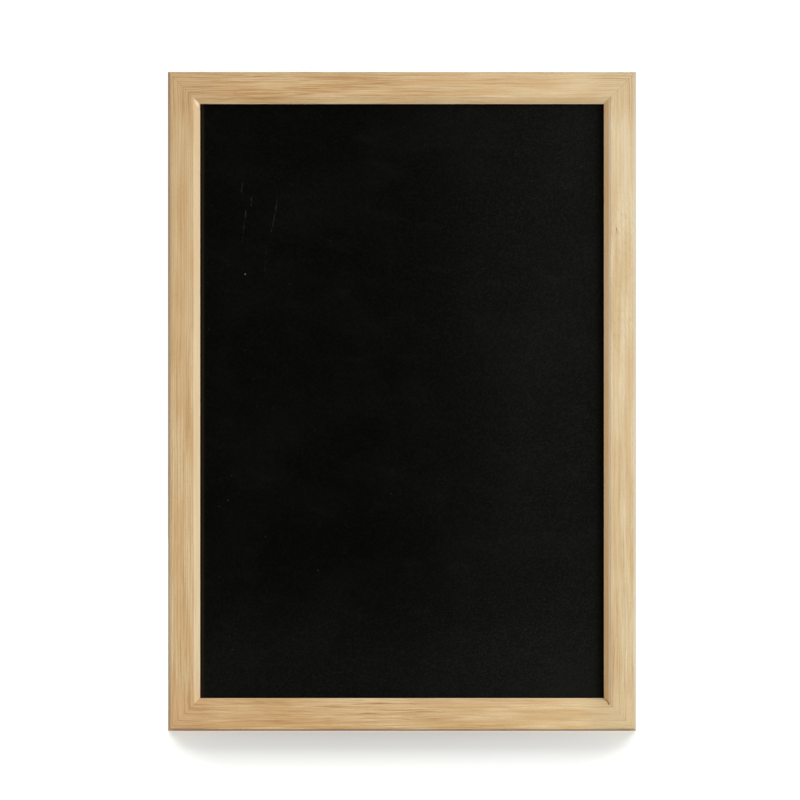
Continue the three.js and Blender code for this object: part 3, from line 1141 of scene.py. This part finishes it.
@dataclass
class WritingPanel:
    """The hardboard panel with its chalk coat."""

    board: Board
    coat: ChalkCoat
    thickness: float = 3 * MM
    corner: float = 1 * MM
    edge_play: float = 0.8 * MM
    seat: float = 0.3 * MM
    arris: float = 0.2 * MM

    def build(self) -> None:
        """Builds the panel in the place of its solid."""
        margin = self.board.rebate_wall + self.edge_play
        width = self.board.width - 2 * margin
        height = self.board.height - 2 * margin
        front = self.board.face + self.board.lip + self.seat
        middle = Vector((0, front + self.thickness / 2, self.board.height / 2))
        bm = bmesh.new()
        size = Matrix.Diagonal((width, self.thickness, height, 1))
        bmesh.ops.create_cube(bm, size=1.0, matrix=Matrix.Translation(middle) @ size)
        through = [e for e in bm.edges if abs(e.verts[0].co.y - e.verts[1].co.y) > self.thickness / 2]
        ease(bm, through, self.corner, 6)
        faces = [f for f in bm.faces if abs(f.normal.y) > 0.9]
        ease(bm, {e for f in faces for e in f.edges}, self.arris, 3)

        piece = object_from(bm, "coated_panel")
        finish(piece, self.coat.material())
        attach(piece, "board")
        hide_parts("writing_panel")


@dataclass
class RingHanger:
    """A strap folded round the bar of a D ring, held by one pan head screw."""

    board: Board
    side: str
    x: float
    foot: float = 5.65 * MM  # y of the strap's underside
    sheet: float = 0.8 * MM
    fold_gap: float = 0.15 * MM
    width: float = 7 * MM
    tail: float = 17 * MM
    end_round: float = 3.2 * MM
    wrap: float = 230
    loop_play: float = 0.2 * MM
    hole_radius: float = 1.6 * MM
    wire: float = 0.9 * MM  # radius
    ring_width: float = 12.2 * MM
    ring_height: float = 9 * MM
    ring_corner: float = 2 * MM
    ring_butt: float = 0.4 * MM
    ring_rest: float = 0.3 * MM
    stand: float = 0.1 * MM
    head: float = 2.7 * MM  # radius
    head_height: float = 1.7 * MM
    head_round: float = 1.15 * MM
    shank: float = 1.3 * MM  # radius
    screw_reach: float = 10 * MM
    screw_tip: float = 2.6 * MM
    screw_seat: float = 0.05 * MM
    recess_span: float = 3.2 * MM
    recess_blade: float = 0.7 * MM
    recess_depth: float = 1 * MM
    recess_turns: tuple[float, float] = (28, -14)  # of the left and the right screw
    neck: float = 3 * MM  # radius of the bend back above the screw
    strap_edge: float = 0.12 * MM
    screw_edge: float = 0.06 * MM

    @property
    def loop_radius(self) -> float:
        """Radius of the middle of the sheet round the bar."""
        return self.wire + self.loop_play + self.sheet / 2

    @property
    def bar_stand(self) -> float:
        """Distance from the strap's underside to the middle of the bar."""
        return self.loop_radius + self.sheet / 2

    @property
    def stack(self) -> float:
        """Thickness of the strap's two layers."""
        return 2 * self.sheet + self.fold_gap

    @property
    def bar(self) -> Vector:
        """The middle of the ring's bar."""
        return Vector((self.x, self.foot + self.bar_stand, self.board.bar_height))

    def build(self, zinc: bpy.types.Material) -> None:
        """Builds the three pieces in the places of their solids.

        Args:
            zinc: The finish of all three.
        """
        made = [
            (self._strap(), "board", f"hanger_strap_{self.side}", self.strap_edge),
            (self._screw(), "board", f"hanger_screw_{self.side}", self.screw_edge),
            (self._ring(), f"{self.side}_ring", f"hanger_ring_{self.side}", 0.0),
        ]
        for piece, body, node, edge in made:
            finish(piece, zinc, edge)
            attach(piece, body)
            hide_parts(node)

    def _strap(self) -> bpy.types.Object:
        """Makes the strap: up the wood, round the bar and down again over itself.

        Returns:
            The strap's object.
        """
        start = Vector((self.x, self.foot + self.sheet / 2, self.board.bar_height - self.tail))
        leave = math.radians(180 - self.wrap)
        throat = self.bar_stand + self.loop_radius * math.cos(leave) - (self.stack - self.sheet / 2)
        turn_back = self.wrap - 180
        slope = math.radians(turn_back)
        run = self.neck * math.tan(slope / 2)
        down = throat / math.sin(slope)
        height = self.loop_radius * math.sin(leave) - down * math.cos(slope)

        sweep = Sweep(ring(self.width, self.sheet, Matrix.Translation(start)), AXIS_Z, AXIS_X)
        sweep.forward(self.tail).bend(-self.wrap, self.loop_radius, 40)
        sweep.forward(down - run).bend(turn_back, self.neck, 10)
        sweep.forward(self.tail + height - run)
        bm = sweep.close()
        low = self.board.bar_height - self.tail
        lower = edges_where(bm, lambda co: abs(co.z - low) < NEAR)
        ends = [edge for edge in lower if abs(edge.verts[0].co.x - edge.verts[1].co.x) < NEAR]
        ease(bm, ends, self.end_round, 10)
        piece = object_from(bm, f"strap_{self.side}")

        middle = Vector((self.x, self.foot + self.stack / 2, self.board.screw_height))
        carve(piece, rod(middle, self.hole_radius, 2 * self.stack))
        return piece

    def _ring(self) -> bpy.types.Object:
        """Makes the ring: a wire bent to a D, whose ends meet inside the strap.

        Returns:
            The ring's object.
        """
        bm = bmesh.new()
        start = Vector((self.ring_butt / 2, 0, 0))
        upright = Matrix.Translation(start) @ Matrix.Rotation(math.pi / 2, 4, "Y")
        bmesh.ops.create_circle(bm, cap_ends=False, radius=self.wire, segments=20, matrix=upright)
        half = self.ring_width / 2
        bar = half - self.ring_corner - self.ring_butt / 2
        leg = self.ring_height - half - self.ring_corner
        sweep = Sweep(bm, AXIS_X, -AXIS_Y)
        sweep.forward(bar).bend(90, self.ring_corner, 12)
        sweep.forward(leg).bend(180, half, 48)
        sweep.forward(leg).bend(90, self.ring_corner, 12)
        bm = sweep.forward(bar).close()
        lean = math.asin((self.stand + self.bar_stand - self.wire - self.ring_rest) / self.ring_height)
        place = Matrix.Translation(self.bar) @ Matrix.Rotation(lean, 4, "X")
        bmesh.ops.transform(bm, matrix=place, verts=bm.verts[:])
        return object_from(bm, f"ring_{self.side}")

    def _screw(self) -> bpy.types.Object:
        """Makes the screw, with a cross recess in its head.

        Returns:
            The screw's object.
        """
        bm = bmesh.new()
        seat = self.foot + self.stack + self.screw_seat
        profile = [
            (0.0, -self.screw_reach),
            (self.shank, -self.screw_reach + self.screw_tip),
            (self.shank, 0.0),
            (self.head, 0.0),
            (self.head, self.head_height),
            (0.0, self.head_height),
        ]
        line = [bm.verts.new((radius, place, 0)) for radius, place in profile]
        edges = [bm.edges.new(pair) for pair in zip(line, line[1:])]
        bmesh.ops.spin(
            bm, geom=line + edges, cent=(0, 0, 0), axis=AXIS_Y, angle=2 * math.pi, steps=40, use_merge=True
        )
        bmesh.ops.remove_doubles(bm, verts=bm.verts[:], dist=SAME_PLACE)
        bmesh.ops.recalc_face_normals(bm, faces=bm.faces[:])
        top = edges_where(bm, lambda co: abs(co.y - self.head_height) < NEAR)
        rim = [e for e in top if all(math.hypot(v.co.x, v.co.z) > self.head - NEAR for v in e.verts)]
        ease(bm, rim, self.head_round, 8)
        place = Matrix.Translation((self.x, seat, self.board.screw_height))
        recess_turn = self.recess_turns[self.x > 0]
        turned = place @ Matrix.Rotation(math.radians(recess_turn), 4, "Y")
        bmesh.ops.transform(bm, matrix=place, verts=bm.verts[:])
        piece = object_from(bm, f"screw_{self.side}")
        for quarter in range(2):
            blade = bmesh.new()
            size = Matrix.Diagonal((self.recess_span, 2 * self.recess_depth, self.recess_blade, 1))
            across = Matrix.Rotation(quarter * math.pi / 2, 4, "Y")
            lifted = Matrix.Translation((0, self.head_height, 0))
            bmesh.ops.create_cube(blade, size=1.0, matrix=turned @ across @ lifted @ size)
            carve(piece, blade)
        return piece


@dataclass
class Fixings:
    """The V nails and glazier's points, which keep the shapes of their solids."""

    steel: Steel
    kinds: tuple[str, ...] = ("v_nail_", "glazier_point_")

    def build(self, nodes: dict[str, bpy.types.Object]) -> None:
        """Gives every nail and point its finish.

        Args:
            nodes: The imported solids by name.
        """
        finish = self.steel.material()
        for name, node in sorted(nodes.items()):
            if name.startswith(self.kinds):
                for slot in node.material_slots:
                    slot.material = finish
                log.info("%s: %s", name, finish.name)


@dataclass
class Studio:
    """A pale floor, soft lights and a long lens, level with the middle of the board."""

    board: Board
    distance: float = 5.0
    sensor: float = 36.0
    view_width: float = 512.2 * MM  # what the picture takes in at the frame's face
    camera_x: float = -1.3 * MM
    camera_z: float = 211.7 * MM
    floor_size: float = 14.0
    sky: float = 0.64
    backdrop: float = 1.12
    key_power: float = 44.0
    key_place: Vector = field(default_factory=lambda: Vector((2.27, -1.16, 1.8)))
    key_size: tuple[float, float] = (1.3, 1.6)
    key_colour: tuple[float, float, float] = (1.0, 0.99, 0.985)
    top_strength: float = 2.35
    # degrees by which the top lights lean, from straight down
    top_tilts: tuple[float, ...] = (34.0, 42.0, 50.0, 58.0, 66.0, 74.0)
    top_spread: float = 10.0

    def build(self) -> None:
        """Sets up the camera, the floor and the lights."""
        self._camera()
        self._floor()
        self._sky()
        self._key(self.board.height / 2)
        self._top()
        log.info("studio: camera, floor, sky and lights")

    def _camera(self) -> None:
        """Puts the camera square in front of the board."""
        data = bpy.data.cameras.new("camera")
        data.sensor_width = self.sensor
        data.lens = self.sensor * self.distance / self.view_width
        data.clip_start = 0.01
        data.clip_end = 60.0
        camera = bpy.data.objects.new("camera", data)
        camera.location = (self.camera_x, self.board.face - self.distance, self.camera_z)
        camera.rotation_euler = (math.pi / 2, 0, 0)
        bpy.context.scene.collection.objects.link(camera)
        bpy.context.scene.camera = camera

    def _floor(self) -> None:
        """Lays the floor."""
        bm = bmesh.new()
        bmesh.ops.create_grid(bm, x_segments=8, y_segments=8, size=self.floor_size / 2)
        floor = object_from(bm, "floor")
        floor.data.materials.append(Paper().material())

    def _sky(self) -> None:
        """Surrounds the board with even light, a little brighter as a backdrop."""
        world = bpy.data.worlds.new("sky")
        s = Shader(world)
        seen = s.node("ShaderNodeLightPath").outputs["Is Camera Ray"]
        strength = Value(s, seen) * (self.backdrop - self.sky) + self.sky
        even = s.node("ShaderNodeBackground", inputs={"Color": (1.0, 1.0, 1.0, 1.0), "Strength": strength})
        s.node("ShaderNodeOutputWorld", inputs={"Surface": even.outputs[0]})
        bpy.context.scene.world = world
        bpy.context.scene.view_settings.view_transform = "Standard"

    def _key(self, height: float) -> None:
        """Hangs a soft box in front of the board, on its right.

        Args:
            height: The height that it faces.
        """
        data = bpy.data.lights.new("key", "AREA")
        data.shape = "RECTANGLE"
        data.size, data.size_y = self.key_size
        data.energy = self.key_power
        data.color = self.key_colour
        light = bpy.data.objects.new("key", data)
        light.location = self.key_place
        towards = Vector((0, 0, height)) - self.key_place
        light.rotation_euler = towards.to_track_quat("-Z", "Y").to_euler()
        bpy.context.scene.collection.objects.link(light)

    def _top(self) -> None:
        """Lets light fall from a long, narrow band above and behind, even over the whole floor."""
        for number, tilt in enumerate(self.top_tilts):
            data = bpy.data.lights.new(f"top_{number}", "SUN")
            data.energy = self.top_strength / len(self.top_tilts)
            data.angle = math.radians(self.top_spread)
            light = bpy.data.objects.new(f"top_{number}", data)
            light.rotation_euler = (-math.radians(tilt), 0, 0)
            bpy.context.scene.collection.objects.link(light)


def frame_members(board: Board) -> list[Member]:
    """Lists the four members with the look of each one's wood.

    Args:
        board: The board's sizes.

    Returns:
        The members.
    """
    half, height = board.width / 2, board.height
    side, top = half / MM, height / MM
    upright = {"grain": Grain.UP, "middle": 0.0, "half": side, "ends": (0.0, top)}
    level = {"grain": Grain.ACROSS, "middle": top / 2, "half": top / 2, "ends": (-side, side)}
    orange = srgb(192, 142, 66)
    # Painted light and shade: colour factors at the corners and along each member, darker at the top left and
    # lighter towards the bottom right.
    top_left, top_right = (0.85, 0.8, 0.75, 1.0), (0.94, 1.01, 1.09, 1.0)
    bottom_left, bottom_right = (1.02, 0.95, 0.88, 1.0), (1.09, 1.17, 1.25, 1.0)
    stile_left = Pine(
        name="pine_stile_left", cut=120, pitch=1.6, wander=0.16, streaks=0.55, lines=0.42, calm=(60, 420),
        painted_shading=srgb(146, 138, 122), painted_shading_share=0.58, painted_shading_reach=2.9, bevel_light_shade_share=0.5, arris_highlight_share=0.3,
        near=(1.05, 1.09, 1.1, 1.0), far=(0.86, 0.84, 0.81, 1.0), corners=(bottom_left, top_left),
        marks=(
            # A painted highlight at the top of the left bevel, by the mitre.
            Mark(along=402.6, across=-131.5, length=4.2, breadth=1.4, slant=-0.3, depth=0.5,
                 colour=srgb(250, 240, 212)),
        ),
        **upright,
    )
    stile_right = Pine(
        name="pine_stile_right", cut=900, pitch=2.6, wander=0.3, streaks=0.5, lines=0.2, calm=(40, 300),
        feather=(238, 345, 0.4), painted_shading=srgb(182, 168, 145), painted_shading_share=0.85,
        bevel_light_shade=srgb(208, 156, 99), bevel_light_shade_share=0.6, shoulder_highlight_share=0.3,
        near=(1.09, 1.2, 1.32, 1.0), far=(0.99, 1.1, 1.26, 1.0), corners=(bottom_right, top_right),
        marks=(
            Mark(along=319.8, across=137.6, length=3.0, breadth=0.5, slant=-0.14, depth=0.6,
                 colour=srgb(140, 96, 60)),
            Mark(along=321.2, across=137.3, length=1.3, breadth=0.5, slant=-0.1, depth=0.5),
            Mark(along=19.1, across=130.9, length=2.3, breadth=1.2, slant=-1.0, depth=0.95, colour=orange),
            Mark(along=402.9, across=130.9, length=2.3, breadth=0.6, slant=1.0, depth=0.7, colour=orange),
        ),
        **upright,
    )
    rail_top = Pine(
        name="pine_rail_top", cut=2100, pitch=1.8, wander=0.28, streaks=0.9, lines=0.16, calm=(-60, 140),
        painted_shading_share=0.3, bevel_light_shade_share=0.07, arris_highlight_share=0.2,
        near=(0.91, 0.88, 0.81, 1.0), far=(0.97, 1.0, 1.04, 1.0), corners=(top_left, top_right),
        **level,
    )
    rail_bottom = Pine(
        name="pine_rail_bottom", cut=3300, pitch=1.9, wander=0.28, streaks=0.75, lines=0.16, calm=(-20, 170),
        painted_shading_share=0.15, arris_highlight_share=0.3, foot_shadow_height=0.9,
        near=(1.16, 1.12, 1.04, 1.0), far=(1.24, 1.31, 1.35, 1.0), corners=(bottom_left, bottom_right),
        marks=(
            Mark(along=131.0, across=18.9, length=1.9, breadth=0.8, slant=-1.0, depth=0.85, colour=orange),
            Mark(along=132.2, across=17.0, length=0.7, breadth=0.6, depth=0.95),
        ),
        **level,
    )
    return [
        Member("frame_stile_left", "stile_left", height, 0, (-half, 0.0), 3, stile_left, board.screw_height),
        Member("frame_stile_right", "stile_right", height, 2, (half, height), 3, stile_right,
               height - board.screw_height),
        Member("frame_rail_bottom", "rail_bottom", board.width, -1, (half, 0.0), 2, rail_bottom),
        Member("frame_rail_top", "rail_top", board.width, 1, (-half, height), 2, rail_top),
    ]


def chalk_coat() -> ChalkCoat:
    """Gives the chalk coat with its traces of use."""
    return ChalkCoat(
        name="chalk_coat",
        coat_back=-2.05,
        rim=-129.4,
        scratches=(
            Scratch(x=-103.1, z=344.9, length=8.3, slant=0.19, strength=0.06),
            Scratch(x=-96.7, z=335.9, length=6.4, slant=0.05, strength=0.06),
            Scratch(x=-100.5, z=329.5, length=5.5, slant=0.16, strength=0.08),
            Scratch(x=-102.5, z=313.5, length=14.7, slant=0.13, strength=0.04),
            Scratch(x=-81.3, z=330.8, length=8.9, slant=0.13, strength=0.06),
            Scratch(x=-84.8, z=314.8, length=16.0, slant=0.2, strength=0.05),
            Scratch(x=-87.8, z=294.3, length=16.0, slant=0.06, strength=0.03),
        ),
        specks=(
            (-100.6, 292.4, 0.55, 0.5),
            (-111.5, 147.4, 0.5, 0.1),
            (-53.9, 102.6, 0.5, 0.1),
            (-110.5, 60.0, 0.35, 0.15),
            (-108.9, 51.6, 0.4, 0.15),
            (-116.9, 98.1, 0.35, 0.12),
            (-87.4, 124.3, 0.35, 0.15),
            (79.1, 64.5, 0.35, 0.15),
        ),
    )


def main() -> None:
    """Builds the dressed board and its studio."""
    logging.basicConfig(level=logging.INFO, format="%(message)s")
    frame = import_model()
    board = Board()
    zinc = Steel(
        name="zinc_steel", light=srgb(214, 217, 220), shade=srgb(176, 181, 186), roughness=0.26, spangle=1.1
    ).material()
    nails = Steel(
        name="nail_steel", light=srgb(168, 171, 175), shade=srgb(104, 106, 110), roughness=0.36, spangle=2.4
    )

    Studio(board).build()
    PineFrame(board, members=frame_members(board)).build()
    WritingPanel(board, chalk_coat()).build()
    for side, x in (("left", -board.hanger_side), ("right", board.hanger_side)):
        RingHanger(board, side, x).build(zinc)
    Fixings(nails).build(frame["nodes"])


if __name__ == "__main__":
    main()
